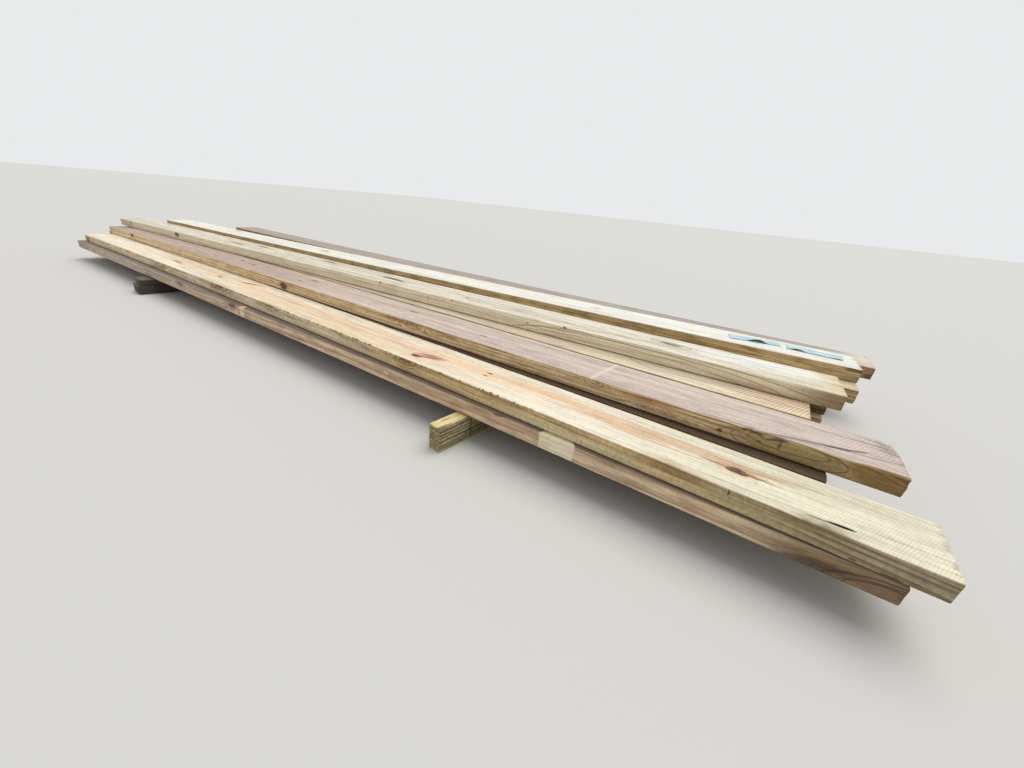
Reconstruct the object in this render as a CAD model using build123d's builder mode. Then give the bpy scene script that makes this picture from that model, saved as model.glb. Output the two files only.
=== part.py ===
# A stack of sawn treated boards lying on two crosswise bearers.
# X runs along the boards, Y from the front of the stack to its back, and Z up.
# The origin is on the floor under the middle of the stack, and sizes are in millimetres.
import math
import os

from build123d import *

# stock: two by six boards, twelve feet long, with eased arrises
board_length = 3658.0
board_width = 140.0
board_thickness = 38.0
board_arris = 3.0

# bearers: a two by three on edge at the near end, and at the far end
# a thin board lying on a two by four that lies flat
bearer_length = 1219.0
bearer_height = 64.0
bearer_arris = 2.5
near_bearer_width = 38.0
near_bearer_setback = 781.0
near_bearer_front = -614.0
near_bearer_turn = -6.0
far_bearer_width = 89.0
far_bearer_setback = 1007.0
far_bearer_front = -595.0
far_bearer_turn = -5.7
far_lower_thickness = 38.0
far_lower_reach = 12.0

# Thin plastic tags left lying on the top course. Each has buckled up into one hump, and gives the
# setback of its middle from the near end, its place across and its turn, and then the hump's
# offset from its middle, the hump's length and its rise.
tag_length = 138.0
tag_width = 45.0
tag_thickness = 0.6
tag_seat = 0.3
tags = {
    "tag_1": (237.0, 206.0, 15.0, 4.5, 58.0, 9.0),
    "tag_2": (85.0, 220.0, 2.2, -45.0, 44.0, 4.5),
}

# Each course, from the bottom up, gives the front line of its first board at mid length and
# then its boards from front to back. A board has the gap before it, its slide along X from
# the middle of the stack, its turn in degrees, and its crook: how far its ends bend back.
courses = [
    (-541.4, [
        (0.0, 52.0, 0.57, -6.8),
        (28.0, -61.0, 0.50, 0.0),
        (29.0, -76.0, 0.60, 0.0),
        (27.0, -51.0, 0.50, 0.0),
        (28.0, -66.0, 0.60, 0.0),
        (28.0, -56.0, 0.50, 0.0),
    ]),
    (-515.0, [
        (0.0, 92.0, 0.11, -18.0),
        (3.0, -50.0, 0.25, -16.0),
        (3.0, -91.0, 0.30, -10.0),
        (3.0, -47.0, 0.30, -10.0),
        (6.0, -61.0, 0.40, 0.0),
        (8.0, -21.0, 0.50, 0.0),
        (12.0, -36.0, 0.80, 0.0),
    ]),
    (-377.4, [
        (0.0, 53.0, 1.00, -5.1),
        (3.5, -84.0, 1.00, -5.0),
        (5.5, -44.0, 1.00, -3.0),
        (5.5, 24.0, 1.00, -6.0),
        (102.0, 89.0, 1.63, 9.0),
    ]),
    (-221.1, [
        (0.0, -25.0, 3.48, -2.1),
        (80.7, 29.0, 4.20, 15.1),
    ]),
]

os.makedirs("parts", exist_ok=True)


def save(piece, name):
    piece.label = name
    export_step(piece, f"parts/{name}.step")


def along_grain(turn):
    # the level direction of a piece's grain, turned from X
    return Vector(1, 0, 0).rotate(Axis.Z, turn)


def sawn_piece(name, width, thickness, arris, grain):
    # A section with eased arrises follows the grain line, so the sawn ends are square to it.
    # The grain line is the middle of the piece's lower face.
    start = grain @ 0
    direction = grain % 0
    end_plane = Plane(origin=start, x_dir=Axis.Z.direction.cross(direction), z_dir=direction)
    with BuildPart() as piece:
        with BuildSketch(end_plane):
            with Locations((0, thickness / 2)):
                RectangleRounded(width, thickness, arris)
        sweep(path=grain)
    save(piece.part, name)


def board(name, front, slide, turn, crook, seat):
    # The grain line is an arc, bent in the level plane, or a straight line where there is no crook.
    half = board_length / 2
    middle = Plane(origin=(slide, front, seat), x_dir=along_grain(turn), z_dir=(0, 0, 1))
    with BuildLine(middle) as grain:
        if crook:
            centre = board_width / 2
            ThreePointArc((-half, centre + crook), (0, centre), (half, centre + crook))
        else:
            Line((-half, board_width / 2), (half, board_width / 2))
    sawn_piece(name, board_width, board_thickness, board_arris, grain.line)


def bearer(name, corner, turn, width, bottom, top, reach=0.0):
    # The corner is the one at the front left, and the reach slides the piece out to the front.
    corner_plane = Plane(origin=(*corner, bottom), x_dir=along_grain(turn), z_dir=(0, 0, 1))
    with BuildLine(corner_plane) as grain:
        Line((width / 2, -reach), (width / 2, bearer_length - reach))
    sawn_piece(name, width, top - bottom, bearer_arris, grain.line)


def board_tag(name, middle, turn, hump_middle, hump_length, hump_rise):
    # a thin strip, flat but for its hump, whose three arcs run smoothly into the flat ends
    lean = math.degrees(2 * math.atan(2 * hump_rise / hump_length))
    radius = hump_length / (4 * math.sin(math.radians(lean)))
    along = along_grain(turn)
    side = Plane(origin=middle, x_dir=along, z_dir=along.cross(Axis.Z.direction))
    height = tag_seat + tag_thickness / 2
    with BuildPart() as strip:
        with BuildSketch(side):
            with BuildLine():
                near_flat = Line((-tag_length / 2, height), (hump_middle - hump_length / 2, height))
                climb = JernArc(near_flat @ 1, near_flat % 1, radius, lean)
                crest = JernArc(climb @ 1, climb % 1, radius, -2 * lean)
                fall = JernArc(crest @ 1, crest % 1, radius, lean)
                Line(fall @ 1, (tag_length / 2, height))
            trace(line_width=tag_thickness)
        extrude(amount=tag_width / 2, both=True)
    save(strip.part, name)


# a bearer near each end, on the floor
near_corner = (board_length / 2 - near_bearer_setback, near_bearer_front)
far_corner = (-board_length / 2 + far_bearer_setback, far_bearer_front)
bearer("near_bearer", near_corner, near_bearer_turn, near_bearer_width, 0.0, bearer_height)
bearer("far_bearer_lower", far_corner, far_bearer_turn, far_bearer_width, 0.0, far_lower_thickness,
       far_lower_reach)
bearer("far_bearer_upper", far_corner, far_bearer_turn, far_bearer_width, far_lower_thickness, bearer_height)

# courses of boards, each lying flat on the one below
for course_number, (first_front, course) in enumerate(courses, start=1):
    seat = bearer_height + (course_number - 1) * board_thickness
    front = first_front
    for board_number, (gap, slide, turn, crook) in enumerate(course, start=1):
        front += gap
        board(f"course_{course_number}_board_{board_number}", front, slide, turn, crook, seat)
        front += board_width

# tags on the top course
top_of_stack = bearer_height + len(courses) * board_thickness
for name, (setback, across, turn, *hump) in tags.items():
    board_tag(name, (board_length / 2 - setback, across, top_of_stack), turn, *hump)
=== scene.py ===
import functools
import math

import bpy
import numpy as np
from mathutils import Matrix, Vector


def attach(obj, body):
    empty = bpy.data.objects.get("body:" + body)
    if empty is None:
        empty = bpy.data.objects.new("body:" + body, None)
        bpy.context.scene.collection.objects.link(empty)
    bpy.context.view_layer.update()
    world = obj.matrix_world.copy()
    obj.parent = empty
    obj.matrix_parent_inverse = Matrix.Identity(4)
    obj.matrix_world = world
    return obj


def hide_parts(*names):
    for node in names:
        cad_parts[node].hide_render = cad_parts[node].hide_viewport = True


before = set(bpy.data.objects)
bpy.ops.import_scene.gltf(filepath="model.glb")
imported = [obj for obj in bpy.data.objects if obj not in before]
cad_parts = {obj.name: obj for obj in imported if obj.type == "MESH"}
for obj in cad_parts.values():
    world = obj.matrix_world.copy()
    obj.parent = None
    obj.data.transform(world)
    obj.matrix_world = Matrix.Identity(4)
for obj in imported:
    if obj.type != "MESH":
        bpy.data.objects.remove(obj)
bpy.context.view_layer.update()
perMetre = 1000   # the boards are worked out in millimetres


# colours, nodes and objects

def linear(hexColour):
    # an sRGB hex value as the linear colour that a shader takes
    parts = [int(hexColour[i:i + 2], 16) / 255 for i in (1, 3, 5)]
    return [p / 12.92 if p <= 0.04045 else ((p + 0.055) / 1.055) ** 2.4 for p in parts] + [1.0]


# what a node calls its way of working, where it doesn't call it an operation
waySettings = {"MixRGB": "blend_type", "MapRange": "interpolation_type"}


def addNode(tree, kind, inputs=(), output=0, **settings):
    # The kind may be followed by its way of working. Inputs are numbers, colours or other nodes' outputs,
    # in order or by name. A range's are its value, then what it runs from, and what it becomes.
    kind, *ways = kind.split()
    made = tree.nodes.new("ShaderNode" + kind)
    for way in ways:
        setattr(made, waySettings.get(kind, "operation"), way)
    for setting, value in settings.items():
        setattr(made, setting, value)
    for place, value in inputs.items() if isinstance(inputs, dict) else enumerate(inputs):
        if isinstance(value, bpy.types.NodeSocket):
            tree.links.new(value, made.inputs[place])
        else:
            made.inputs[place].default_value = value
    return made.outputs[output] if made.outputs else None


def newMaterial(name):
    material = bpy.data.materials.new(name)
    material.use_nodes = True
    material.node_tree.nodes.clear()
    return material, functools.partial(addNode, material.node_tree)


def linkedObject(name, data):
    made = bpy.data.objects.new(name, data)
    bpy.context.scene.collection.objects.link(made)
    return made


def smoothObject(name, mesh, material):
    mesh.polygons.foreach_set("use_smooth", np.ones(len(mesh.polygons), bool))
    mesh.materials.append(material)
    mesh.update()
    return linkedObject(name, mesh)


# Treated southern pine, sawn, planed and kiln dried: rings of pale early and darker late wood about a
# pith, cut by the faces into stripes, arches and swirls, and dulled a little where rain has dried on it.
pineUsual = {
    "drift": (6, 4), "taper": 7,           # of the pith and of the rings, in mm a metre
    "ringWidth": 5.0, "wander": 7,         # mm
    "endColours": ("#dcc48f", "#a8844f"),
    "contrast": (0.5, 0.8, 0.9),           # of the rings, on the top, the sides and the ends
    "lateFrom": 0.3, "lateTo": 0.88,       # where in a ring the late wood starts and is darkest
    "unevenYears": (0.35, 1.5),            # how fast the rings' widths change, and by how many rings
    "bulge": 2.8,                          # how far a knot pushes the rings out, in ring widths
    "faintUntil": None,                    # where along the board the sides' rings gain contrast
    "heart": None,                         # spots of orange heartwood, their tint and their lines' colour
    "fades": (),                           # painted shade on the sides: from, to, and the share of light that is left
    "stain": ("#8f8a5c", (0.05, 0.5, 0.3)),
    "mottle": 0.5, "blotCells": (8, 12, 6),   # blotches of the treatment on the sides
    "weather": ("#cbb9b0", 0.0),           # colour and share on the top
    "knots": (), "marks": (), "swirls": (), "swirlColour": "#94783f",
    "knotColours": ("#5b3d2a", "#2d1d14", "#e0a670"),   # middle, rim and halo
    "lines": (0.26, 0.30, 0.3),            # depth of the fibres on the top, the sides and the ends
    "ridge": (7.0, 0.45, (0.04, 0.0, 0.0)),   # period in mm, slant, and depth by kind of face
    "grime": ("#1d150e", 0.75, 0.6, 3.6),  # dirt and painted shade along the lower edge: colour, share, and reach in mm
    "endEdge": ("#bca988", 0.5),           # worn edges of the sawn ends
    "fringe": None,                        # torn fibres: start, end and depth in mm, and colour
    "comb": ("#a08c60", 0.5),              # fainter and longer torn fibres under the fringe
    "roughness": (0.62, 0.2),              # the least, and what the long streaks add
    "relief": (0.9, 0.001),                # strength of the bump, and its height in m
}

# how long, wide and high the cells of each kind of unevenness are, in mm
pineCells = {
    "wander": (700, 60, 60), "rough": (14, 9, 9), "frayed": (230, 10, 5), "gentle": (90, 25, 25),
    "wash": (420, 24, 60), "heartLines": (300, 8, 8), "blotches": (55, 40, 15), "fibres": (85, 8, 2.4),
    "longStreaks": (380, 15, 5), "ridgePatches": (210, 50, 30), "endFrays": (30, 6, 5),
    "hairs": (9, 90, 90), "lumps": (70, 90, 90), "comb": (6, 90, 60),
}
farOff = 99.0   # a spot distance beyond the reach of every spot
seedSteps = (911.0, 173.0, 57.0)   # mm from one seed's wood to the next one's, so that no two boards match


def spotAt(at, half, colour=None, **rest):
    # A spot in a board. Its middle and its half length, breadth and height are in mm along, across and up.
    # The rest may be its turn and lean in degrees, its share, how soft and of what kind its edge is, half
    # the breadth of its outline in mm where it is a rim alone, the only kind of face it shows on, and
    # whether it tints the wood and doesn't cover it.
    return {"at": at, "half": half, "colour": colour, **rest}


def spotDistance(add, place, spot, outline=False):
    # 0 in the middle of a spot and 1 on its outline, an egg shape in the board's own millimetres,
    # or the way to its outline in millimetres
    rotation = (0, math.radians(spot.get("lean", 0)), math.radians(spot.get("turn", 0)))
    turned = add("Mapping", {"Vector": place, "Location": spot["at"], "Rotation": rotation,
                             "Scale": spot["half"]}, vector_type="TEXTURE")
    distance = add("VectorMath LENGTH", [turned], "Value")
    if outline:
        steepness = add("VectorMath DIVIDE", [turned, spot["half"]])
        steepness = add("VectorMath LENGTH", [steepness], "Value")
        distance = add("Math ABSOLUTE", [add("Math SUBTRACT", [distance, 1.0])])
        distance = add("Math DIVIDE", [distance, steepness])
    return distance


def pineMaterial(name, look):
    look = {**pineUsual, **look}
    material, add = newMaterial(name)
    seed = look["seed"]
    cells = {**pineCells, "blots": look["blotCells"]}
    grain = add("Attribute", output="Vector", attribute_name="grain")
    faces = add("Attribute", output="Vector", attribute_name="faces")
    top, side, end = [add("SeparateXYZ", [faces], axis) for axis in "XYZ"]
    along, across, up = [add("SeparateXYZ", [grain], axis) for axis in "XYZ"]

    def byFace(values):
        # the first of these values on the top, the next on the sides and the last on the ends
        return add("VectorMath DOT_PRODUCT", [faces, values], "Value")

    def streaks(kind, detail=2.0, output="Fac"):
        # noise whose cells are of this kind
        scale = [1 / size for size in cells[kind]]
        stretched = add("Mapping", {"Vector": grain, "Location": [seed * step for step in seedSteps],
                                    "Scale": scale})
        return add("TexNoise", {"Vector": stretched, "Scale": 1.0, "Detail": detail}, output)

    def moved(kind, reach, detail=2.0):
        # the place in the board, shifted unevenly by up to this many millimetres
        shift = add("VectorMath SUBTRACT", [streaks(kind, detail, "Color"), (0.5, 0.5, 0.5)])
        shift = add("VectorMath SCALE", {0: shift, "Scale": 2.0 * reach})
        return add("VectorMath ADD", [grain, shift])

    # the rings: distance from a pith that wanders and leans through the board
    wandered = moved("wander", look["wander"], 3.0)
    leanT, leanU = [d / perMetre for d in look["drift"]]
    pithT, pithU = look["pith"]
    fromPith = add("Mapping", {"Vector": wandered, "Location": (0, -pithT, -pithU),
                               "Rotation": (0, leanU, -leanT)})
    fromPith = add("VectorMath MULTIPLY", [fromPith, (0, 1, 1)])
    radius = add("VectorMath LENGTH", [fromPith], "Value")
    radius = add("Math MULTIPLY_ADD", [along, look["taper"] / perMetre, radius])

    # knots and swirls push the rings apart
    roughGrain = moved("rough", 3.5)
    frayedGrain = moved("frayed", 60.0, 3.0)
    gentleGrain = moved("gentle", 1.2)
    knotDistance = None
    for knot in look["knots"]:
        distance = spotDistance(add, roughGrain, knot)
        knotDistance = add("Math MINIMUM", [knotDistance or farOff, distance])
    swirlDistance = None
    for swirl in look["swirls"]:
        distance = spotDistance(add, gentleGrain, swirl)
        swirlDistance = add("Math MINIMUM", [swirlDistance or farOff, distance])
    bend = swirlDistance or knotDistance
    if knotDistance and swirlDistance:
        bend = add("Math MINIMUM", [knotDistance, swirlDistance])
    if bend:
        bulge = add("MapRange SMOOTHERSTEP", [bend, 0.3, 4.0, look["bulge"] * look["ringWidth"], 0.0])
        radius = add("Math ADD", [radius, bulge])

    turns = add("Math DIVIDE", [radius, look["ringWidth"]])
    yearRate, yearReach = look["unevenYears"]
    yearPlace = add("Math MULTIPLY_ADD", [turns, yearRate, float(seed)])
    unevenYears = add("TexNoise", {"W": yearPlace, "Scale": 1.0, "Detail": 1.0}, noise_dimensions="1D")
    turns = add("Math MULTIPLY_ADD", [unevenYears, yearReach, turns])
    year = add("Math FRACT", [turns])
    lateWood = add("MapRange SMOOTHSTEP", [year, look["lateFrom"], look["lateTo"]])
    yearEnd = add("MapRange SMOOTHSTEP", [year, 0.90, 1.0, 1.0, 0.0])
    lateWood = add("Math MULTIPLY", [lateWood, yearEnd])
    contrast = byFace(look["contrast"])
    if look["faintUntil"]:
        first, last = look["faintUntil"]
        clear = add("MapRange", [along, first, last, 0.35])
        clear = add("Math MAXIMUM", [clear, top])
        if bend:
            nearSwirl = add("MapRange", [bend, 1.2, 3.0, 1.3, 0.0])
            clear = add("Math MAXIMUM", [clear, nearSwirl])
        contrast = add("Math MULTIPLY", [contrast, clear])
    band = add("Math MULTIPLY", [lateWood, contrast])

    # colours of the top, the sides and the ends
    topColour, sideColour, endColour = [
        add("MixRGB", [band, linear(look[kind][0]), linear(look[kind][1])])
        for kind in ("topColours", "sideColours", "endColours")]
    weatherColour, weatherShare = look["weather"]
    if weatherShare:
        washed = add("MapRange", [streaks("wash", 3.0), 0.36, 0.60, 0.45 * weatherShare, weatherShare])
        topColour = add("MixRGB", [washed, topColour, linear(weatherColour)])
    if look["heart"]:
        spots, tint, lineColour = look["heart"]
        nearest = farOff
        for spot in spots:
            nearest = add("Math MINIMUM", [nearest, spotDistance(add, frayedGrain, spot)])
        heart = add("MapRange SMOOTHSTEP", [nearest, 0.55, 1.15, 1.0, 0.0])
        topColour = add("MixRGB MULTIPLY", [heart, topColour, linear(tint)])
        heartLines = add("MapRange", [streaks("heartLines", 2.0), 0.5, 0.66, 0.0, 0.6])
        heartLines = add("Math MULTIPLY", [heartLines, heart])
        topColour = add("MixRGB", [heartLines, topColour, linear(lineColour)])
    colour = add("MixRGB", [side, topColour, sideColour])
    colour = add("MixRGB", [end, colour, endColour])

    # the treatment stains the faces unevenly, and painted shade darkens stretches of the sides
    stainColour, stainShares = look["stain"]
    blotches = add("MapRange", [streaks("blotches", 4.0), 0.44, 0.66])
    stainShare = add("Math MULTIPLY", [blotches, byFace(stainShares)])
    colour = add("MixRGB MULTIPLY", [stainShare, colour, linear(stainColour)])
    shade = None
    for first, last, left in look["fades"]:
        fade = add("MapRange SMOOTHSTEP", [along, first, last, 1.0, left])
        shade = add("Math MULTIPLY", [shade or 1.0, fade])

    # Fibres and small blotches. Real fibres are finer than a pixel, so these are drawn coarser.
    fibres = streaks("fibres", 3.0)
    longStreaks = streaks("longStreaks", 2.0)
    lineDepth = byFace(look["lines"])
    fineLines = add("MapRange", [fibres, 0.46, 0.70, 0.22, -0.78])
    tone = add("Math MULTIPLY_ADD", [fineLines, lineDepth, 1.0])
    wide = add("Math SUBTRACT", [longStreaks, 0.5])
    tone = add("Math MULTIPLY_ADD", [wide, 0.55, tone])
    blots = add("Math SUBTRACT", [streaks("blots", 4.0), 0.5])
    tone = add("Math MULTIPLY_ADD", [blots, byFace((0.35, 2.0 * look["mottle"], 0.5)), tone])

    # Planer and saw ridges slant across the board, drawn about twice as coarse as the real ones.
    period, slant, ridgeDepths = look["ridge"]
    phaseSteps = (2 * math.pi / period, -2 * math.pi * slant / period, 0)
    phase = add("VectorMath DOT_PRODUCT", [gentleGrain, phaseSteps], "Value")
    patches = add("MapRange", [streaks("ridgePatches"), 0.38, 0.60, 0.35])
    ridgeDepth = add("Math MULTIPLY", [byFace(ridgeDepths), patches])
    ridges = add("Math MULTIPLY", [add("Math SINE", [phase]), ridgeDepth])
    tone = add("Math ADD", [tone, ridges])
    # painted shade: the sides are darkened along the board
    if shade:
        colour = add("MixRGB", [side, colour, add("VectorMath SCALE", {0: colour, "Scale": shade})])

    # swirls: thin brown lines round a knot that lies just under the face
    if swirlDistance:
        swirlLines = add("Math SINE", [add("Math MULTIPLY", [swirlDistance, 9.0])])
        near = add("MapRange", [swirlDistance, 1.0, 2.4, 0.3, 0.0])
        near = add("Math MULTIPLY", [near, side])
        swirlShare = add("Math MULTIPLY_ADD", [swirlLines, near, near])
        colour = add("MixRGB MULTIPLY", [swirlShare, colour, linear(look["swirlColour"])])

    # relief: ridges, fibres and late wood stand up
    height = add("Math MULTIPLY", [ridges, 0.8])
    height = add("Math MULTIPLY_ADD", [fibres, 0.5, height])
    height = add("Math MULTIPLY_ADD", [lateWood, 0.12, height])

    # knots, with a dark rim and an orange halo, lie a little lower
    if look["knots"]:
        middleColour, rimColour, haloColour = [linear(c) for c in look["knotColours"]]
        halo = add("MapRange", [knotDistance, 1.0, 2.2, 0.7, 0.0])
        colour = add("MixRGB MULTIPLY", [halo, colour, haloColour])
        knotRings = add("Math SINE", [add("Math MULTIPLY", [knotDistance, 14.0])])
        ringShare = add("Math MULTIPLY_ADD", [knotRings, 0.3, 0.3])
        knotColour = add("MixRGB", [ringShare, middleColour, rimColour])
        rim = add("MapRange SMOOTHSTEP", [knotDistance, 0.68, 0.96])
        knotColour = add("MixRGB", [rim, knotColour, rimColour])
        inKnot = add("MapRange", [knotDistance, 0.92, 1.16, 1.0, 0.0])
        colour = add("MixRGB", [inKnot, colour, knotColour])
        height = add("Math MULTIPLY_ADD", [inKnot, -0.4, height])

    # marks: stains, pale lines left by stacking strips, pitch, cracks darkened by painted shade, and arches
    # that are rims alone
    places = {"crisp": grain, "rough": roughGrain, "frayed": frayedGrain, "gentle": gentleGrain}
    for mark in look["marks"]:
        place = places[mark.get("edge", "rough")]
        soft, rim = mark.get("soft", 0.3), mark.get("rim")   # a rim is half the outline's breadth in mm
        first, last = (0.3 * rim, 1.7 * rim) if rim else (1 - soft, 1 + soft)
        share = add("MapRange SMOOTHSTEP", [spotDistance(add, place, mark, bool(rim)), first, last,
                                            mark.get("share", 0.8), 0.0])
        if mark.get("only"):
            share = add("Math MULTIPLY", [share, {"top": top, "side": side}[mark["only"]]])
        mixing = "MixRGB MULTIPLY" if mark.get("tint") else "MixRGB"
        colour = add(mixing, [share, colour, linear(mark["colour"])])

    colour = add("VectorMath SCALE", {0: colour, "Scale": tone})

    # torn fibres hang dark over the upper front arris, with a fainter comb of longer ones under them
    if look["fringe"]:
        first, last, depth, fringeColour = look["fringe"]
        fromTop = add("Math SUBTRACT", [look["thickness"], up])
        fromFront = add("Math ADD", [across, look["width"] / 2])
        away = add("Math ADD", [fromTop, fromFront])
        hairs = add("Math MULTIPLY_ADD", [streaks("hairs", 2.0), 4.2, -1.9])
        lumps = add("Math MULTIPLY_ADD", [streaks("lumps", 1.0), 2.4, -1.2])
        reach = add("Math MULTIPLY", [add("Math ADD", [hairs, lumps]), depth])
        hang = add("MapRange", [add("Math SUBTRACT", [reach, away]), 0.0, 1.5])
        zone = spotDistance(add, grain, spotAt(((first + last) / 2, -look["width"] / 2, look["thickness"]),
                                               ((last - first) / 2, 30, 100)))
        zone = add("MapRange", [zone, 0.8, 1.1, 0.85, 0.0])
        hang = add("Math MULTIPLY", [hang, zone])
        colour = add("MixRGB", [hang, colour, linear(fringeColour)])
        comb = add("Math MULTIPLY_ADD", [streaks("comb", 3.0), 11.0, -4.6])
        comb = add("Math MULTIPLY", [add("Math ADD", [comb, lumps]), depth])
        combColour, combShare = look["comb"]
        comb = add("MapRange", [add("Math SUBTRACT", [comb, away]), 0.0, 12.0, 0.0, combShare])
        comb = add("Math MULTIPLY", [add("Math MULTIPLY", [comb, zone]), side])
        colour = add("MixRGB MULTIPLY", [comb, colour, linear(combColour)])

    # dirt and painted shade along the lower edge, and dirt on the sawn ends' edges
    grimeAndShadeColour, grimeAndShadeShare, first, last = look["grime"]
    low = add("MapRange SMOOTHSTEP", [up, first, last, grimeAndShadeShare, 0.0])
    low = add("Math MULTIPLY", [low, side])
    colour = add("MixRGB", [low, colour, linear(grimeAndShadeColour)])
    fromMiddle = add("Math ABSOLUTE", [along])
    endLength = add("MapRange", [streaks("endFrays", 3.0), 0.35, 0.65, -13.0, 3.0])
    endEdge = add("Math SUBTRACT", [fromMiddle, look["half"]])
    endEdge = add("Math SUBTRACT", [endEdge, endLength])
    edgeColour, edgeShare = look["endEdge"]
    endEdge = add("MapRange", [endEdge, 0.0, 8.0, 0.0, edgeShare])
    colour = add("MixRGB MULTIPLY", [endEdge, colour, linear(edgeColour)])

    leastRoughness, roughened = look["roughness"]
    dull = add("Math MULTIPLY_ADD", [longStreaks, roughened, leastRoughness])
    strength, reliefHeight = look["relief"]
    bump = add("Bump", {"Strength": strength, "Distance": reliefHeight, "Height": height})
    shader = add("BsdfPrincipled", {"Base Color": colour, "Roughness": dull, "IOR": 1.5, "Normal": bump})
    add("OutputMaterial", [shader])
    return material


# sawn pieces

stock = {"width": 140, "thickness": 38, "arris": 3.0}   # mm, a two by six


def onTop(at, half, colour=None, **rest):
    # a spot on a board's top, by its place there and half its length, breadth and depth
    return spotAt((*at, stock["thickness"]), half, colour, **rest)


def onFront(at, half, colour=None, **rest):
    # a spot on a board's front side, by its place there and half its length, height and depth
    length, height, depth = half
    return spotAt((at[0], -stock["width"] / 2, at[1]), (length, depth, height), colour, **rest)


# how the saw, the planer and handling have left the pieces, in mm
surface = {
    "waves": (0.25, 31), "ripples": (0.15, 9),   # depth and length of the faces' unevenness
    "wornLength": 60, "nickLength": 7,           # of worn and of nicked stretches of an arris
    "wornShares": (0.3, 1.2, 0.5),               # the least wear, and what worn and nicked stretches add
    "arrisReach": 4.5,                           # how far the wear of an arris runs on to the faces
    "tears": (1.6, 5.5, 40),                     # depth and length of torn fibres, and of torn stretches
    "endArris": 1.0, "endReach": 26,             # of the saw cut, and how far in it leaves fibres shorter
    "cornerFrom": 10,                            # where across the board a broken corner starts
    "cornerShares": (0.6, 0.4),                  # of its loss: the least, and what varies
    "dips": 0.7, "dipReach": 9,                  # of a sawn end: their share of its raggedness, and reach
    "crackWaves": (0.5, 9),                      # how far a crack strays, and over what length
    "endRings": (2.5, 7, 12),                    # of the mesh, inwards from an end's outline
    "endSections": (3, 6, 10), "evenFrom": 14,   # of the mesh, inwards along the piece
    "edgeColumns": (1.5, 4),                     # of the mesh, inwards over a face from its edges
    "arrisTurns": (18, 45, 72),                  # of the mesh, in degrees round an arris
}


def randomSteps(places, period, seed):
    # smooth random heights from 0 to 1, one for each period
    count = 4096
    table = np.random.default_rng(seed).random(count)
    cell = np.asarray(places) / period + count // 2
    low = np.floor(cell).astype(int)
    part = cell - low
    part = part * part * (3 - 2 * part)
    return table[low % count] * (1 - part) + table[(low + 1) % count] * part


def grainLine(node):
    # the line along the middle of a CAD piece: its middle, its direction, half its length and its crook
    points = np.array([v.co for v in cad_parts[node].data.vertices]) * perMetre
    flat = points[:, :2]
    direction = np.linalg.svd(flat - flat.mean(0), full_matrices=False)[2][0]
    direction = direction * np.sign(direction.sum())
    reach = flat @ direction
    ends = [flat[reach < reach.min() + 5].mean(0), flat[reach > reach.max() - 5].mean(0)]
    middle = (ends[0] + ends[1]) / 2
    direction = (ends[1] - ends[0]) / np.linalg.norm(ends[1] - ends[0])
    sideways = np.array([-direction[1], direction[0]])
    half = np.linalg.norm(ends[1] - ends[0]) / 2
    sag = (((flat - middle) @ direction) / half) ** 2 - 1   # a bow of 1 mm, from the middle to the ends
    sag = np.where(sag < -0.1, sag, 0)
    crook = (sag @ ((flat - middle) @ sideways)) / max(sag @ sag, 1)
    return middle, direction, sideways, half, crook, points[:, 2].min()


def sectionPoints(width, thickness, arris, lowerColumns, columns, rows):
    # points round the section from the lower front arris to the back, up and over, and the way each faces
    halfWidth = width / 2
    placed = [(t, 0, 0, -1) for t in lowerColumns]
    corners = [(halfWidth - arris, arris, -90), (halfWidth - arris, thickness - arris, 0),
               (-halfWidth + arris, thickness - arris, 90), (-halfWidth + arris, arris, 180)]
    straights = [[(halfWidth, u, 1, 0) for u in rows], [(t, thickness, 0, 1) for t in columns[::-1]],
                 [(-halfWidth, u, -1, 0) for u in rows[::-1]], []]
    for (t, u, start), straight in zip(corners, straights):
        for turn in surface["arrisTurns"]:
            angle = math.radians(start + turn)
            facing = (math.cos(angle), math.sin(angle))
            placed.append((t + arris * facing[0], u + arris * facing[1], *facing))
        placed += straight
    return np.array(placed)


def spaced(low, high, step, extra=()):
    # even places with closer ones at both ends, and any extra ones
    count = max(2, round((high - low) / step))
    near = [edge for d in surface["edgeColumns"] for edge in (low + d, high - d)]
    return np.unique(np.concatenate([np.linspace(low, high, count + 1), near, extra]))


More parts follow.
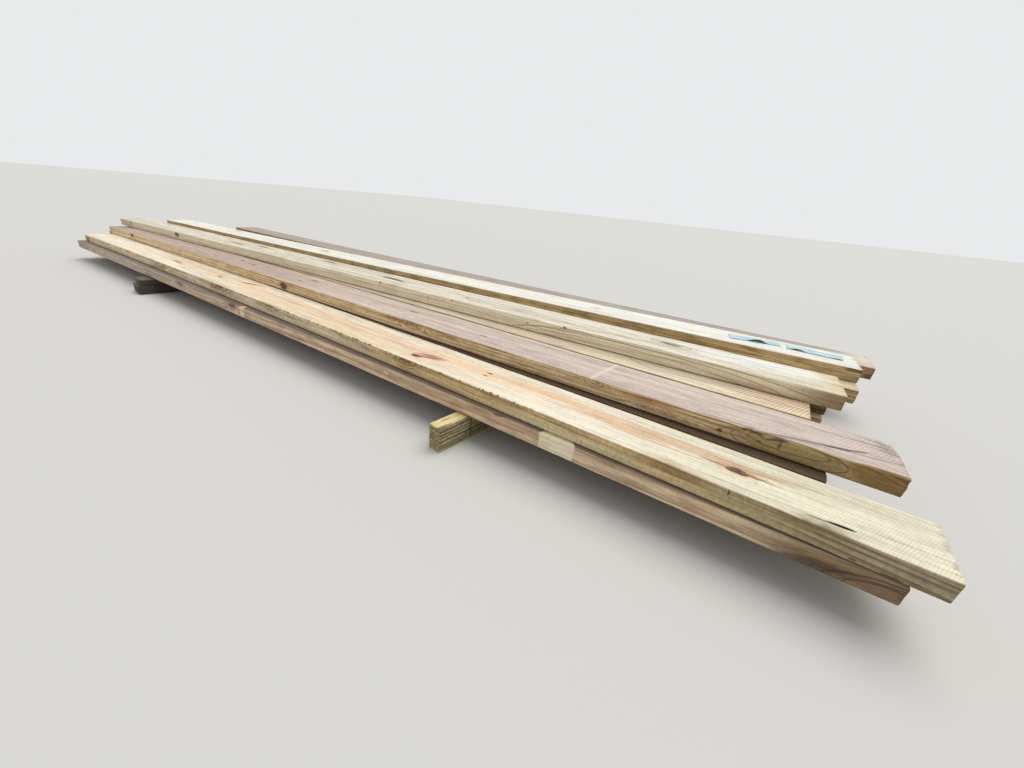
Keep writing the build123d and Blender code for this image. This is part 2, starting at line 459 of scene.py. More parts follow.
def sawnPiece(name, look, size):
    # a swept section whose faces wave a little, with worn arrises, rough sawn ends and open cracks
    look = {"closer": (), "cracks": (), "wear": 0.5, "ragged": 1.2, "columnStep": 9, "cornerLoss": 0, **look}
    width, thickness, arris = size["width"], size["thickness"], size["arris"]
    middle, direction, sideways, half, crook, seat = grainLine(look["node"])
    endArris = surface["endArris"]
    crackColumns = [t + d for c in look["cracks"] for t in c["across"] for d in np.arange(-3, 3.1, 0.5)]
    lowerColumns = spaced(-width / 2 + arris, width / 2 - arris, look["columnStep"])
    columns = spaced(-width / 2 + arris, width / 2 - arris, look["columnStep"], crackColumns)
    rows = spaced(arris, thickness - arris, min(8, thickness / 4))
    section = sectionPoints(width, thickness, arris, lowerColumns, columns, rows)
    evenHalf = half - surface["evenFrom"]
    stations = [np.linspace(-evenHalf, evenHalf, round(2 * half / look["step"]))]
    stations += [np.arange(first, last, step) for first, last, step in look["closer"]]
    ends = np.array([0, endArris, *surface["endSections"]])
    along = np.unique(np.concatenate(stations + [half - ends, ends - half]).clip(-half, half))

    t, u = np.tile(section[:, 0], (len(along), 1)), np.tile(section[:, 1], (len(along), 1))
    facingT, facingU = section[:, 2], section[:, 3]
    s = np.tile(along[:, None], (1, len(section)))
    grainPlaces = np.stack([s, t, u], axis=2).reshape(-1, 3)
    seed = look["seed"]

    # how deep each point lies under the planed face
    (waveDepth, waveLength), (rippleDepth, rippleLength) = surface["waves"], surface["ripples"]
    depth = waveDepth * randomSteps(s + 3 * t + 5 * u, waveLength, seed)
    depth += rippleDepth * randomSteps(s - 2 * t, rippleLength, seed + 1)
    leastWear, wornWear, nickWear = surface["wornShares"]
    for corner, (signT, high) in enumerate(((-1, True), (1, True), (1, False), (-1, False))):
        cornerU = thickness if high else 0
        away = np.hypot(section[:, 0] - signT * width / 2, section[:, 1] - cornerU)
        worn = randomSteps(along, surface["wornLength"], seed + 10 + corner)
        nicks = randomSteps(along, surface["nickLength"], seed + 20 + corner)
        worn = look["wear"] * (leastWear + wornWear * worn) + nickWear * look["wear"] * nicks
        if look.get("fringe") and corner == 0:
            first, last, _, _ = look["fringe"]
            tearDepth, tearLength, patchLength = surface["tears"]
            torn = tearDepth * randomSteps(along, tearLength, seed + 30)
            torn = torn * randomSteps(along, patchLength, seed + 31)
            worn = worn + np.where((along > first) & (along < last), torn, 0)
        depth += worn[:, None] * np.exp(-(away / surface["arrisReach"]) ** 2)[None, :]
    for crack in look["cracks"]:
        (first, last), (tFirst, tLast) = crack["along"], crack["across"]
        share = ((along - first) / (last - first)).clip(0, 1)
        stray, strayLength = surface["crackWaves"]
        line = tFirst + share * (tLast - tFirst) + stray * (randomSteps(along, strayLength, seed + 40) - 0.5)
        gape = crack["width"] / 2 * np.sin(np.pi * share ** 1.5) ** 0.8
        inside = np.abs(section[:, 0][None, :] - line[:, None]) < gape[:, None]
        inside = inside & (facingU > 0.9)[None, :]
        depth = np.where(inside, crack["depth"], depth)
    endAway = half - np.abs(along)
    t = t - facingT * depth
    u = u - facingU * depth

    # the ends: a small arris, and a saw cut that leaves some fibres shorter
    tuck = np.clip(endArris - endAway, 0, endArris)[:, None]
    t = t - facingT * tuck
    u = u - facingU * tuck
    shorter = look["ragged"] * randomSteps(section[:, 0] + 2.1 * section[:, 1], 5, seed + 50)
    cornerFrom, (leastLoss, variedLoss) = surface["cornerFrom"], surface["cornerShares"]
    backCorner = np.clip((section[:, 0] - cornerFrom) / (width / 2 - cornerFrom), 0, 1) ** 2
    varied = leastLoss + variedLoss * randomSteps(section[:, 0] + section[:, 1], 6, seed + 51)
    shorter = shorter + look["cornerLoss"] * backCorner * varied
    pulled = shorter[None, :] * np.exp(-((endAway / surface["endReach"]) ** 2))[:, None]
    s = s - np.sign(s) * pulled

    def placed(s, t, u):
        turned = np.arctan(2 * crook * s / half ** 2)
        offset = crook * ((s / half) ** 2 - 1)
        lengthwise = (s - t * np.sin(turned))[..., None] * direction
        crosswise = (offset + t * np.cos(turned))[..., None] * sideways
        level = middle + lengthwise + crosswise
        return np.concatenate([level, (seat + u)[..., None]], axis=-1).reshape(-1, 3)

    perRing = len(section)
    points, grains = [placed(s, t, u)], [grainPlaces]
    faceShares = np.stack([np.maximum(facingU, 0) ** 2, facingT ** 2, 0 * facingT], axis=1)
    masks = [np.tile(faceShares, (len(along), 1))]
    i, j = np.meshgrid(np.arange(len(along) - 1), np.arange(perRing), indexing="ij")
    a = i * perRing + j
    b = i * perRing + (j + 1) % perRing
    polygons = np.stack([a + perRing, b + perRing, b, a], axis=2).reshape(-1, 4).tolist()

    # each end is closed by rings that shrink towards its middle
    total = len(along) * perRing
    for atEnd in (0, len(along) - 1):
        outer = np.arange(atEnd * perRing, (atEnd + 1) * perRing)
        for inset in surface["endRings"]:
            ringT = section[:, 0] * (1 - inset / (width / 2))
            ringU = thickness / 2 + (section[:, 1] - thickness / 2) * (1 - inset / (thickness / 2))
            dip = randomSteps(ringT * 3 + ringU * 7, 6, seed + 60 + int(inset))
            dip = surface["dips"] * look["ragged"] * dip + shorter * np.exp(-inset / surface["dipReach"])
            ringS = along[atEnd] - np.sign(along[atEnd]) * dip
            points.append(placed(ringS, ringT, ringU))
            grains.append(np.stack([np.full(perRing, along[atEnd]), ringT, ringU], axis=1))
            masks.append(np.tile([0.0, 0.0, 1.0], (perRing, 1)))
            inner = np.arange(total, total + perRing)
            total += perRing
            band = np.stack([outer, np.roll(outer, -1), np.roll(inner, -1), inner], axis=1)
            polygons += (band if atEnd == 0 else band[:, ::-1]).tolist()
            outer = inner
        polygons.append((outer if atEnd == 0 else outer[::-1]).tolist())

    mesh = bpy.data.meshes.new(name)
    mesh.from_pydata((np.concatenate(points) / perMetre).tolist(), [], polygons)
    for attribute, values in (("grain", grains), ("faces", masks)):
        layer = mesh.attributes.new(attribute, "FLOAT_VECTOR", "POINT")
        layer.data.foreach_set("vector", np.concatenate(values).astype(np.float32).ravel())
    piece = smoothObject(name, mesh, pineMaterial(name + "Pine", {**size, **look, "half": half}))
    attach(piece, "root")
    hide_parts(look["node"])


# The long front board: cream sapwood with a streak of orange heartwood, one large knot,
# and a front edge that is stained olive and banded by its rings towards the near end.
frontBoard = {
    "node": "course_2_board_1", "seed": 3, "step": 6, "ragged": 0.8,
    "closer": [(1655, 1725, 2.0), (100, 1060, 3.0)],
    "pith": (14, -38), "drift": (12, -3), "taper": 9, "ringWidth": 6.5, "wander": 8,
    "topColours": ("#faf2de", "#e9d8b6"), "sideColours": ("#fce9c6", "#bfa376"), "contrast": (0.5, 1, 0.9),
    # painted shade: the sides darken in two steps towards the near end
    "faintUntil": (1380, 1720), "fades": [(300, 1000, 0.78), (1400, 1720, 0.62)], "mottle": 0.42,
    "ridge": (4.4, 0.45, (0.08, 0.0, 0.0)), "lines": (0.2, 0.16, 0.3), "blotCells": (7, 12, 11),
    "heart": ([onTop((-300, 4), (1100, 36, 200), turn=0.3),
               onTop((700, 4), (800, 36, 200), turn=0.6),
               onTop((1330, 10), (280, 20, 200), turn=0.5)], "#fbeadb", "#eecbaa"),
    "stain": ("#b0a884", (0.0, 0.4, 0.3)),
    "knots": [
        onTop((1550, -4), (19, 8, 30)),
        onTop((778, -35), (13, 6, 20)),
        onTop((-220, 26), (34, 4, 20), turn=14),
        onTop((-400, 0), (16, 3, 12)),
        onTop((-790, -8), (40, 4, 12)),
        onTop((986, -4), (6, 2.2, 12)),
        onTop((988, 14), (7, 2.2, 10)),
    ],
    "swirls": [
        onFront((-835, 17), (44, 11, 20)),
        onFront((-257, 19), (40, 11, 20)),
        onFront((90, 30), (40, 8, 20)),
        onFront((600, 24), (30, 5, 20)),
        onFront((773, 26), (22, 9, 20)),
    ],
    "marks": [
        onTop((1568, 15), (62, 9, 20), "#f0c6a0", turn=3, soft=0.6, share=0.6, tint=True),
        onTop((1625, 26), (60, 1.8, 20), "#c09a74", turn=2, soft=0.6, edge="gentle", share=0.7),
        onTop((1600, 15), (70, 1.6, 20), "#c09a74", turn=8, soft=0.6, edge="gentle", share=0.6),
        onTop((1517, -2), (26, 3.5, 20), "#b08866", soft=0.5),
        onTop((1578, -2), (22, 3.5, 20), "#a98078", soft=0.5),
        onTop((1588, -5), (34, 1.6, 20), "#6b4a34", soft=0.4, share=0.7),
        onTop((1515, 19), (40, 1.8, 20), "#c08a5c", soft=0.5, share=0.7),
        onTop((1552, -3), (3, 2, 20), "#241416"),
        onTop((816, -14), (36, 11, 20), "#b9675c", turn=14, soft=0.7, share=0.85),
        onTop((802, -27), (34, 3, 20), "#6a4636", turn=22, soft=0.5),
        onTop((790, -11), (30, 3, 20), "#96644c", turn=22, soft=0.5),
        onTop((1300, 8), (200, 12, 200), "#f2cdae", soft=0.6, edge="frayed", share=0.3, tint=True),
        onTop((350, -46), (620, 26, 20), "#f2e2c8", edge="frayed", soft=0.6, share=0.9, only="top",
              tint=True),
        onFront((1100, 19), (560, 90, 9), "#fff2d2", soft=0.4, share=1.0, only="side", tint=True),
        onFront((1560, 13), (80, 15, 20), "#d2c290", soft=0.6, share=0.5),
        onFront((150, 7), (480, 11, 20), "#eee0bc", soft=0.6, share=0.6),
        onFront((1235, 8), (170, 14, 20), "#dccfa2", soft=0.6, share=0.85),
        onFront((600, 18), (110, 18, 20), "#eadcb6", soft=0.7, share=0.5),
        onFront((-300, 31), (150, 8, 20), "#c0aa84", soft=0.7, share=0.7, tint=True),
        onFront((1450, 31), (60, 8, 20), "#bca47c", soft=0.7, share=0.7, tint=True),
        onFront((1548, 31), (1.6, 5, 4), "#2c2116", soft=0.4),
        spotAt((0, -72, 38), (1900, 14, 11), "#c0a680", edge="frayed", soft=0.6, share=0.75, only="side",
               tint=True),
        onTop((1700, 0), (330, 200, 20), "#f0f2ea", soft=0.7, only="top", tint=True),
        # painted shade: the open crack and its fine tail are coloured nearly black, for the shade inside
        # them
        onTop((1698, -48.9), (18, 3.6, 8), "#120d09", turn=4, soft=0.2, edge="crisp", share=1.0),
        onTop((1672, -51.8), (20, 1.8, 8), "#2c2015", turn=4, edge="crisp"),
        onFront((1662, 34), (50, 5, 20), "#8a744e", lean=-3, soft=0.6),
        onFront((1722, 6), (5, 1.6, 9), "#4a3a26", soft=0.5),
        onFront((1767, 3), (12, 2.2, 9), "#4a3a26", lean=8, soft=0.5),
        onFront((-1800, 16), (40, 14, 10), "#a87b4a", tint=True),
    ],
    "cracks": [{"along": (1668, 1716), "across": (-51.0, -47.4), "width": 4.0, "depth": 7}],
    "knotColours": ("#6e5553", "#3b2829", "#eab384"),
    "fringe": (110, 1180, 5.0, "#5b5034"),
}

# The board under it: light brown, with pale patches where a stacking strip lay and a dark figure at its
# near end.
lowerFrontBoard = {
    "node": "course_1_board_1", "seed": 5, "step": 8,
    "pith": (20, 60), "drift": (5, -9), "taper": 6, "ringWidth": 7.5, "wander": 9,
    # painted shade: the top is coloured dark for the shade under the front board's edge, and for dirt
    "topColours": ("#85756a", "#5d4d43"), "sideColours": ("#ecd2ae", "#a98669"),
    # painted shade: the sides darken strongly at the near end
    "fades": [(1560, 1770, 0.42)], "mottle": 0.2, "contrast": (0.5, 0.65, 0.9), "lines": (0.3, 0.36, 0.3),
    "stain": ("#c2a88a", (0.2, 0.5, 0.3)),
    "knots": [
        onFront((-65, 31), (20, 8, 10)),
        onFront((-500, 30), (26, 7, 10)),
    ],
    "swirls": [onFront((1800, -2), (40, 14, 20))],
    "marks": [
        onFront((0, 19), (15, 40, 20), "#f6e8c6", soft=0.15),
        onFront((1275, 19), (40, 200, 20), "#faf0d2", soft=0.06, share=0.85),
        onFront((1250, 19), (12, 200, 20), "#ecdcae", soft=0.5, share=0.5),
        onFront((761, 23), (9, 4, 6), "#f4e2b8"),
        onFront((1128, 37), (16, 2.5, 6), "#7c4a20"),
        onFront((1075, 37), (44, 3.5, 6), "#6a4a30", edge="frayed", share=0.6),
        onFront((1740, 10), (64, 15, 30), "#5e4832", lean=-3, soft=0.5, share=0.9),
        onFront((1740, 29), (80, 5, 30), "#96784a", lean=-4, soft=0.6, share=0.6),
        onFront((1808, 6), (71, 22, 40), "#7b5f46", lean=-9, soft=0.12, share=0.93),
        onFront((1806, 7), (73, 24, 40), "#3a2618", lean=-9, rim=1.3, edge="gentle"),
        onFront((1790, 12), (30, 9, 40), "#907458", lean=-14, soft=0.5),
        onFront((1798, 11), (36, 10, 40), "#452c1c", lean=-14, rim=1.0, edge="gentle"),
        onFront((1806, 9), (52, 16, 40), "#4e3422", lean=-12, rim=0.8, edge="gentle", share=0.7),
        onFront((1828, 3), (20, 9, 40), "#94805c", soft=0.5),
        onFront((-1770, 19), (110, 60, 30), "#cbc3bb", soft=0.6, tint=True),
        onFront((-1500, 19), (1300, 60, 60), "#a9a39e", soft=0.6, share=0.4),
    ],
    "knotColours": ("#8a5c3e", "#4e3020", "#c89868"),
}

# The board on the second step: its top washed mauve by the weather, its edge amber and green.
mauveBoard = {
    "node": "course_3_board_1", "seed": 8, "step": 6, "cornerLoss": 13, "ragged": 2.2, "wear": 0.9,
    "pith": (-20, 75), "drift": (-9, 10), "taper": 8, "ringWidth": 8.0, "wander": 9,
    "topColours": ("#ecdac6", "#c3a48e"), "sideColours": ("#f8e1b6", "#bd9662"),
    "contrast": (0.35, 0.7, 0.9),
    "weather": ("#cdbdb5", 0.85), "ridge": (7.0, 0.5, (0.09, 0.0, 0.0)), "lines": (0.24, 0.24, 0.3),
    # painted shade: the sides darken from the middle on, and more at the near end
    "fades": [(-300, 700, 0.84), (1450, 1800, 0.62)], "mottle": 0.35,
    "stain": ("#b09a70", (0.1, 0.4, 0.3)),
    "knots": [
        onTop((24, -19), (12, 3, 8)),
        onTop((50, 24), (14, 3, 8)),
        onTop((-466, 9), (18, 3, 8)),
        onTop((-368, 2), (26, 3.5, 8)),
        onTop((600, 10), (18, 2.5, 8)),
        onTop((906, -14), (10, 2.5, 8)),
        onFront((-9, 18), (20, 11, 8)),
        onFront((-1481, 28), (16, 8, 8)),
    ],
    "swirls": [
        onFront((679, 30), (26, 7, 20)),
        onFront((1266, 36), (12, 5, 20)),
        onFront((1430, 12), (30, 3, 20)),
        onFront((1690, 38), (48, 14, 20), lean=4),
    ],
    "marks": [
        onTop((1267, 2), (5, 400, 8), "#f4e6cb", turn=-7, edge="crisp", share=0.6),
        onTop((1636, -58), (46, 2.6, 8), "#6a554a", turn=16, soft=0.7, edge="gentle"),
        onTop((1686, -42), (40, 2.4, 8), "#6b5a56", turn=15, soft=0.7, edge="gentle"),
        onTop((1684, -47), (44, 6.0, 8), "#a18d88", turn=15, soft=0.9, share=0.6),
        onTop((1732, -31), (30, 4.2, 8), "#4b4142", turn=14, soft=0.6, share=0.9),
        onTop((1762, -18), (22, 2.6, 8), "#5e504e", turn=28, soft=0.6),
        onTop((1780, -28), (44, 2.2, 8), "#8a7870", turn=10, soft=0.6, share=0.7, edge="gentle"),
        onTop((1800, 34), (34, 2.4, 8), "#6d625b", turn=-4, soft=0.7, share=0.7),
        onTop((1806, 52), (26, 2.4, 8), "#5f554f", turn=-8, soft=0.7, share=0.7),
        onTop((1812, 16), (22, 2.0, 8), "#7b6f66", turn=-6, soft=0.7, share=0.6),
        onTop((1560, -62), (60, 3, 6), "#7d6a60", soft=0.6, share=0.6),
        onFront((1690, 20), (112, 40, 9), "#ad9a68", share=0.7),
        onFront((1655, 27), (62, 10, 9), "#b8a56e", share=0.7),
        onFront((1765, 13), (24, 12, 9), "#bda97a", lean=35, soft=0.4),
        onFront((1655, 27), (66, 12, 9), "#7c5a2c", rim=1.0, edge="gentle"),
        onFront((1655, 23), (80, 16.5, 9), "#94713c", rim=0.8, edge="gentle", share=0.6),
        onFront((1655, 19), (94, 22, 9), "#7c5a2e", rim=1.2, edge="gentle"),
        onFront((1650, 14), (110, 29, 9), "#8a6a3a", rim=0.8, edge="gentle", share=0.6),
        onFront((1840, 40), (92, 50, 9), "#92743f", soft=0.1, edge="gentle"),
        onFront((1805, 34), (56, 8, 9), "#7a5a2e", lean=11, soft=0.4, edge="gentle"),
        onFront((1825, 26), (50, 2, 9), "#b08f5a", lean=14, soft=0.6, edge="gentle", share=0.6),
        onFront((1600, 34), (18, 3, 9), "#6a4426", lean=15, soft=0.5),
        onFront((1632, 30), (15, 3, 9), "#5a3a22", lean=-12, soft=0.5),
        onFront((1644, 22), (3, 9, 9), "#6a4a2a", soft=0.5),
        onFront((1641, 36), (12, 2.2, 9), "#2c1e16", soft=0.5),
        onFront((1610, 20), (4, 2, 4), "#3a2a1c"),
        onFront((1541, 15), (5, 3, 4), "#4c3422"),
        onFront((1581, 35), (5, 2, 4), "#4c3422"),
        onTop((-1829, 0), (2000, 200, 20), "#e2d7d2", soft=0.25, only="top", tint=True),
        onTop((1829, 60), (14, 30, 20), "#efe6d2", soft=0.6, share=0.6),
        onTop((1815, 40), (16, 30, 20), "#8d8074", soft=0.6, share=0.5, only="top"),
        spotAt((700, -72, 37), (1200, 12, 8), "#bf8542", edge="frayed", soft=0.6, only="side", tint=True),
        onTop((-1780, 10), (70, 60, 20), "#bcb0aa", soft=0.6, share=0.7, only="top", tint=True),
    ],
    "knotColours": ("#6c5a4e", "#40322a", "#dcb890"),
}

# The board on the third step: a whitish top with long grey knots and wide wavy grain along its edge.
greyKnotBoard = {
    "node": "course_4_board_1", "seed": 13, "step": 8, "cornerLoss": 4,
    "pith": (30, -40), "drift": (-8, 9), "taper": 10, "ringWidth": 8.5, "wander": 12,
    "topColours": ("#f9f2e0", "#d8caae"), "sideColours": ("#fff6da", "#ccb27c"), "contrast": (0.8, 0.5, 0.9),
    "lateFrom": 0.66, "weather": ("#d0c7b2", 0.65), "mottle": 0.2,
    "stain": ("#c0b48c", (0.1, 0.15, 0.3)),
    "lines": (0.34, 0.26, 0.3),
    "knots": [
        onTop((-649, -9), (46, 7, 8)),
        onTop((-504, 31), (44, 7, 8)),
        onTop((-18, 36), (40, 6, 8)),
        onTop((398, 8), (54, 9, 8), turn=-4),
        onTop((763, -8), (10, 4, 8)),
        onTop((1441, 9), (28, 8, 8), turn=-6),
        onFront((-1130, 24), (20, 8, 8)),
        onFront((407, 36), (5, 3, 4)),
        onFront((1158, 36), (5, 3, 4)),
    ],
    "marks": [
        onTop((1640, 20), (150, 40, 9), "#fdfdf6", soft=0.6, share=0.7, only="top"),
        onTop((1829, 0), (40, 200, 9), "#e2cf9f", soft=0.6, share=0.6, only="top"),
        onFront((-1829, 19), (120, 90, 20), "#c8b48c", soft=0.5, share=0.5, only="side"),
        onFront((1835, 12), (80, 60, 20), "#967648", soft=0.7, share=0.85, only="side"),
        onTop((1441, 9), (54, 17, 8), "#8d8174", turn=-6, rim=1.6, share=0.85, edge="gentle"),
        onTop((1443, 9), (14, 3.5, 8), "#83594c", turn=-6, soft=0.5),
        onFront((1350, -2), (370, 34, 9), "#857242", rim=0.9, edge="gentle", share=0.75),
        onFront((1400, -2), (400, 42, 9), "#857242", rim=1.0, edge="gentle", share=0.75),
        onFront((1330, -2), (300, 24, 9), "#8f7c4a", rim=0.9, edge="gentle", share=0.6),
        onFront((1300, -2), (220, 13, 9), "#8f7c4a", rim=0.8, edge="gentle", share=0.5),
        onFront((1660, 4), (90, 9, 9), "#8f7440", soft=0.7, share=0.5),
        onFront((641, 22), (2, 9, 4), "#7d6a46", share=0.6),
        onFront((744, 33), (5, 2.5, 4), "#a8642e"),
        onFront((1036, 23), (4, 2, 4), "#5c4726"),
        onFront((-1684, 25), (7, 14, 4), "#5e4a30", share=0.7),
    ],
    "knotColours": ("#857b72", "#574f49", "#ddd4c6"),
}

# The top board at the back: the palest face of all, with a brown edge ruled with fine straight grain.
brightBoard = {
    "node": "course_4_board_2", "seed": 21, "step": 8, "cornerLoss": 3,
    "pith": (-60, 15), "drift": (2, 1), "taper": 3, "ringWidth": 4.0, "wander": 3,
    "topColours": ("#fefdf4", "#ece4d0"), "sideColours": ("#dfc79b", "#a98a58"), "mottle": 0.2,
    # painted shade: the side darkens a little towards the far end
    "fades": [(-200, -900, 0.9)],
    "weather": ("#dcd6c6", 0.25),
    "knots": [
        onTop((-1206, 38), (40, 4, 8)),
        onTop((-362, 4), (36, 6, 8)),
        onTop((1079, 0), (14, 3, 8)),
    ],
    "marks": [
        onFront((1818, 34), (26, 7, 14), "#57432c", only="side"),
    ],
    "knotColours": ("#a89c88", "#7d7262", "#efe2c8"),
}

# The board behind them on the second step, greyed pink, with a red brown edge at its near end.
backBoard = {
    "node": "course_3_board_5", "seed": 34, "step": 10, "cornerLoss": 6,
    "pith": (10, -60), "drift": (5, 5), "ringWidth": 5.5, "wander": 7,
    "topColours": ("#c6b8a8", "#9d8a80"), "sideColours": ("#c4a87e", "#8e6e48"),
    "weather": ("#a69a92", 0.7), "lines": (0.34, 0.3, 0.3),
    "marks": [
        onTop((1829, 0), (60, 200, 20), "#efe2c8", soft=0.6, share=0.7, only="top"),
        onFront((1815, 16), (70, 22, 30), "#9c7450", share=0.4),
        onFront((1826, 8), (20, 9, 30), "#5c3a26", share=0.7),
    ],
}

# The covered board between the steps: a pale yellow strip, pinkish and ridged by the saw behind it.
ridgedBoard = {
    "node": "course_3_board_2", "seed": 55, "step": 8,
    "pith": (40, -40), "drift": (3, 5), "ringWidth": 6.0, "wander": 6,
    "topColours": ("#dccbae", "#bda78a"), "sideColours": ("#c4a878", "#86683c"),
    "weather": ("#d6c0ae", 0.5),
    "ridge": (8.2, 0.4, (0.17, 0.0, 0.0)),
    "marks": [
        onTop((1443, -19), (38, 1.8, 8), "#3c2c20", turn=-22, soft=0.5, edge="gentle"),
        onTop((1950, -70), (800, 38, 30), "#f4e9c8", soft=0.2, share=0.75, only="top", edge="frayed"),
        onTop((1800, 0), (110, 200, 30), "#f0cda8", soft=0.6, share=0.3, only="top", tint=True),
    ],
}

# The board in the slot behind the front board, painted dark for the shade in the slot.
dampBoard = {
    "node": "course_2_board_2", "seed": 89, "step": 12,
    "pith": (0, 70), "ringWidth": 7.0,
    "topColours": ("#52402e", "#33261a"), "sideColours": ("#8a7250", "#5b472c"),
}

# The board that lies in shade between them, painted dark for that shade, at its end too.
shadedBoard = {
    "node": "course_3_board_3", "seed": 71, "step": 16, "pith": (-30, -40), "ringWidth": 6.5,
    "topColours": ("#b8a684", "#93805c"), "sideColours": ("#7a6848", "#4d3f29"),
    "endColours": ("#8f7d5a", "#5f5034"),
}

boards = {
    "frontBoard": frontBoard, "lowerFrontBoard": lowerFrontBoard, "mauveBoard": mauveBoard,
    "greyKnotBoard": greyKnotBoard, "brightBoard": brightBoard, "backBoard": backBoard,
    "ridgedBoard": ridgedBoard, "dampBoard": dampBoard, "shadedBoard": shadedBoard,
}
dressed = {look["node"] for look in boards.values()}
hiddenNodes = sorted(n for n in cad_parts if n.startswith("course_") and n not in dressed)

# The hidden boards share three tones, and each has rings and knots of its own.
hiddenTones = [("#efe2c0", "#d3ba85"), ("#e6d6b4", "#c4a877"), ("#dfcaa8", "#b7986b")]
for number, node in enumerate(hiddenNodes):
    tone = hiddenTones[number % len(hiddenTones)]
    heartSpots = [onTop((700 * math.cos(number), 30 * math.sin(number)), (1300, 34, 200))]
    boards["innerBoard" + node[len("course"):].replace("_board", "")] = {
        "node": node, "seed": 100 + 7 * number, "step": 24, "columnStep": 14,
        "pith": (50 * math.sin(number * 2.4), 60 * (-1) ** number + 19), "ringWidth": 4.5 + number % 4,
        "topColours": tone, "sideColours": ("#cbb382", "#8f754a"),
        "heart": (heartSpots, "#f3d3b0", "#cf9a6b") if number % 2 else None,
        "knots": [onTop((1500 * math.sin(number * 1.7 + k * 2.3), 55 * math.sin(number + k * 1.9)),
                        (14 + 4 * k, 6 + k, 12)) for k in range(2)],
    }
for name, look in boards.items():
    sawnPiece(name, look, stock)
print(len(boards), "boards made")

# bearers: a two by three on edge, with thick rings laid level, and a thin board on a flat two by four
nearBearer = {
    "node": "near_bearer", "seed": 144, "step": 6, "wear": 1.0, "ragged": 2.0,
    "pith": (10, -260), "drift": (2, 2), "ringWidth": 9.5, "wander": 2, "contrast": (0.4, 1.0, 1.0),
    "topColours": ("#f2dfa6", "#cbb278"), "sideColours": ("#beb08c", "#5f5239"),
    "endColours": ("#bdb48a", "#857a54"), "mottle": 0.7, "stain": ("#a39a72", (0.3, 0.5, 0.5)),
    # painted shade: the sides are darker where the bearer runs under the stack
    "fades": [(-540, -400, 0.6)],
    "marks": [
        spotAt((-512, -19, 32), (4, 9, 40), "#4d4230", soft=0.5, share=0.7),
        spotAt((-610, -16, 64), (40, 4, 3), "#6b5230", soft=0.5),
        spotAt((-570, 6, 64), (16, 3, 3), "#8a6b3c", soft=0.5, share=0.7),
    ],
}
# painted shade: the far bearers are coloured dark grey brown for the deep shade under the far end of the
# stack
farLowerBearer = {
    "node": "far_bearer_lower", "seed": 233, "step": 16, "pith": (30, -50),
    "topColours": ("#6b6051", "#4c4335"), "sideColours": ("#504940", "#38322a"),
    "endColours": ("#4d463c", "#352f27"),
}
farUpperBearer = {**farLowerBearer, "node": "far_bearer_upper", "seed": 377, "pith": (-30, 60)}
nearBearerSize = {"width": 38, "thickness": 64, "arris": 2.5}   # mm
farLowerSize = {"width": 89, "thickness": 38, "arris": 2.5}
farUpperSize = {"width": 89, "thickness": 26, "arris": 2.5}
sawnPiece("nearBearer", nearBearer, nearBearerSize)
sawnPiece("farLowerBearer", farLowerBearer, farLowerSize)
sawnPiece("farUpperBearer", farUpperBearer, farUpperSize)
print("bearers made")


# tags

# Light blue polythene, blown and slit: a thin smooth film, a little glossy, whose creases catch light.
filmTag = {
    "colours": ("#cfe9ef", "#a9d3e2"), "roughness": 0.38, "cloudSize": 40, "creaseSize": 28,   # mm
    "width": 45, "thickness": 0.55,
    "lift": 0.35, "waves": (0.5, 17),            # height over the board, and depth and length of its waves
    "edgeMargin": 0.6, "edgeWaves": (0.6, 21),   # how far the edges lie in, and their own waves
}


def filmMaterial():
    material, add = newMaterial("bluePolythene")
    place = add("TexCoord", output="Object")
    cloudy = add("TexNoise", {"Vector": place, "Scale": perMetre / filmTag["cloudSize"], "Detail": 3.0})
    creased = add("TexNoise", {"Vector": place, "Scale": perMetre / filmTag["creaseSize"], "Detail": 2.0,
                               "Distortion": 0.8})
    cloudy = add("MapRange", [cloudy, 0.35, 0.65])
    colour = add("MixRGB", [cloudy, *[linear(c) for c in filmTag["colours"]]])
    bump = add("Bump", {"Strength": 0.5, "Distance": 0.002, "Height": creased})
    shader = add("BsdfPrincipled", {"Base Color": colour, "Roughness": filmTag["roughness"], "IOR": 1.5,
                                    "Normal": bump})
    add("OutputMaterial", [shader])
    return material


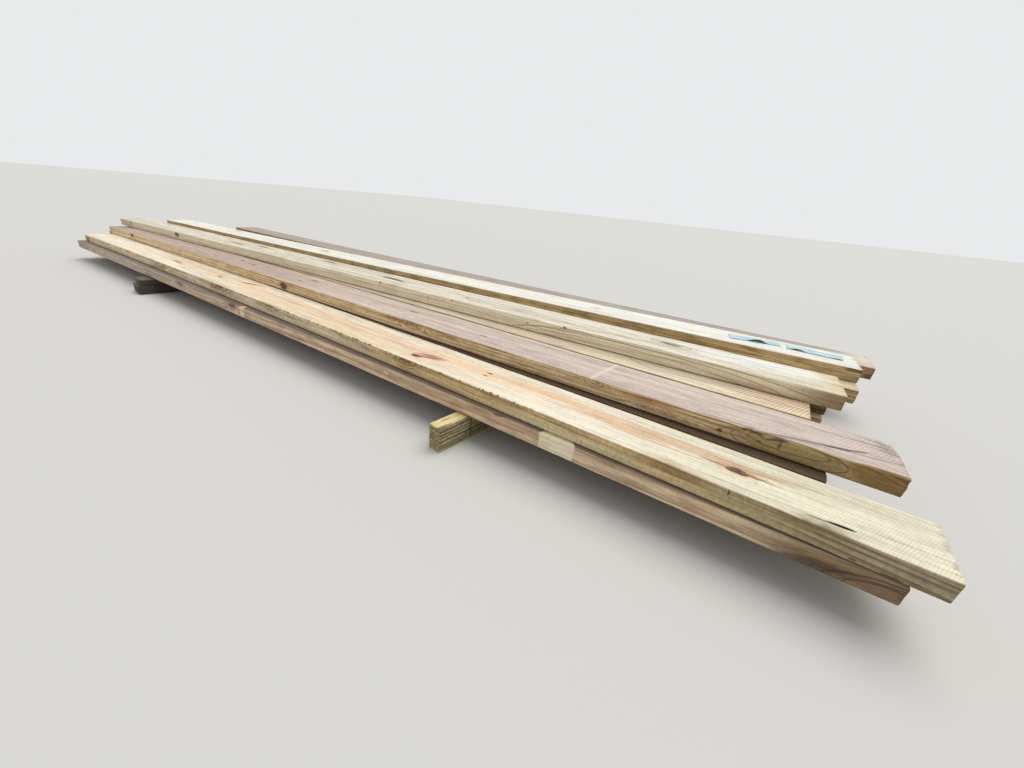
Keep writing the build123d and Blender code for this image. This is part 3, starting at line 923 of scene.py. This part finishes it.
def buckledTag(name, look, material):
    # a strip of film that lies on the board but for its humps, higher at the front edge than at the back
    middle, direction, sideways, half, _, seat = grainLine(look["node"])
    columns, rows = 71, 13
    x, y = np.meshgrid(np.linspace(-half, half, columns), np.linspace(-1, 1, rows), indexing="ij")
    waveDepth, waveLength = filmTag["waves"]
    height = filmTag["lift"] + waveDepth * randomSteps(x + 9 * y, waveLength, look["seed"])
    for at, length, rise, backShare in look["humps"]:
        share = np.clip(np.abs(x - at) / (length / 2), 0, 1)
        height += rise * np.cos(share * np.pi / 2) ** 1.6 * (backShare + (1 - backShare) * (1 - y) / 2)
    waveDepth, waveLength = filmTag["edgeWaves"]
    edgeWave = waveDepth * (randomSteps(x, waveLength, look["seed"] + 1) - 0.5)
    crosswise = y * (filmTag["width"] / 2 - filmTag["edgeMargin"]) + edgeWave
    flat = middle + x[..., None] * direction + crosswise[..., None] * sideways
    upper = np.concatenate([flat, (seat + height + filmTag["thickness"])[..., None]], axis=2).reshape(-1, 3)
    lower = np.concatenate([flat, (seat + height)[..., None]], axis=2).reshape(-1, 3)
    i, j = np.meshgrid(np.arange(columns - 1), np.arange(rows - 1), indexing="ij")
    a = (i * rows + j).ravel()
    quads = np.stack([a, a + rows, a + rows + 1, a + 1], axis=1)
    count = columns * rows
    rim = [i * rows for i in range(columns)] + [(columns - 1) * rows + j for j in range(1, rows)]
    rim += [i * rows + rows - 1 for i in range(columns - 2, -1, -1)] + list(range(rows - 2, 0, -1))
    walls = [[rim[k - 1] + count, rim[k] + count, rim[k], rim[k - 1]] for k in range(len(rim))]
    mesh = bpy.data.meshes.new(name)
    points = np.concatenate([upper, lower]) / perMetre
    mesh.from_pydata(points.tolist(), [], quads.tolist() + (quads[:, ::-1] + count).tolist() + walls)
    piece = smoothObject(name, mesh, material)
    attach(piece, "root")
    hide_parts(look["node"])


# each hump: its place along the tag, length and rise in mm, and the share of the rise at the back edge
tags = {
    "leftTag": {"node": "tag_1", "seed": 610, "humps": [(4.5, 68, 8.2, 0.05), (-55, 40, 0.8, 1.0)]},
    "rightTag": {"node": "tag_2", "seed": 987,
                 "humps": [(-42, 52, 4.2, 0.05), (52, 50, 1.6, 0.2), (5, 40, 0.6, 0.5)]},
}
film = filmMaterial()
for name, look in tags.items():
    buckledTag(name, look, film)
print("tags made")


# stage

floorSize = 60   # m
corners = [(x * floorSize / 2, y * floorSize / 2, 0) for x, y in ((-1, -1), (1, -1), (1, 1), (-1, 1))]
floorMesh = bpy.data.meshes.new("floor")
floorMesh.from_pydata(corners, [], [(0, 1, 2, 3)])
floorPaint, add = newMaterial("floorPaint")
add("OutputMaterial", [add("BsdfPrincipled", {"Base Color": linear("#dcdbd7"), "Roughness": 0.9})])
floorMesh.materials.append(floorPaint)
floor = linkedObject("floor", floorMesh)

# a soft sky and one wide lamp overhead, whose spread and lean are in degrees
lights = {"sky": 0.45, "skyColour": "#ffffff", "backdrop": "#e9eaeb",
          "lamp": 0.55 * math.pi, "lampSpread": 50, "lampLean": (-18, 8, 0)}
world = bpy.data.worlds.new("softSky")
world.use_nodes = True
bpy.context.scene.world = world
world.node_tree.nodes.clear()
sky = functools.partial(addNode, world.node_tree)
rays = [sky("LightPath", output=o) for o in ("Is Camera Ray", "Is Glossy Ray", "Is Transmission Ray")]
seen = sky("Math MAXIMUM", [sky("Math MAXIMUM", [rays[0], rays[1]]), rays[2]])
lighting = sky("Background", [linear(lights["skyColour"]), lights["sky"]])
backdrop = sky("Background", [linear(lights["backdrop"]), 1.0])
sky("OutputWorld", [sky("MixShader", [seen, lighting, backdrop])])

lamp = linkedObject("overheadLamp", bpy.data.lights.new("overheadLamp", "SUN"))
lamp.data.energy = lights["lamp"]
lamp.data.angle = math.radians(lights["lampSpread"])
lamp.rotation_euler = [math.radians(angle) for angle in lights["lampLean"]]

# The camera stands low in front of the near end, held a little askew, and looks along the stack. Its
# angles are in degrees, and the rest is in m and mm.
cameraPlace = {"at": (1.603, -1.170, 0.534), "down": 24.81, "roll": -5.71, "heading": 58.19,
               "focal": 13.93, "sensor": 36.0, "clipStart": 0.02}
heading, down, roll = [math.radians(cameraPlace[k]) for k in ("heading", "down", "roll")]
level = Vector((-math.cos(heading), math.sin(heading), 0))
rightLevel = Vector((math.sin(heading), math.cos(heading), 0))
forward = math.cos(down) * level - math.sin(down) * Vector((0, 0, 1))
upward = math.sin(down) * level + math.cos(down) * Vector((0, 0, 1))
right = math.cos(roll) * rightLevel - math.sin(roll) * upward
top = math.sin(roll) * rightLevel + math.cos(roll) * upward
camera = linkedObject("camera", bpy.data.cameras.new("camera"))
camera.data.lens = cameraPlace["focal"]
camera.data.sensor_width = cameraPlace["sensor"]
camera.data.clip_start = cameraPlace["clipStart"]
turned = Matrix((right, top, -forward)).transposed().to_4x4()
camera.matrix_world = Matrix.Translation(cameraPlace["at"]) @ turned
bpy.context.scene.camera = camera
bpy.context.scene.view_settings.view_transform = "Standard"

print("stage, lights and camera made")
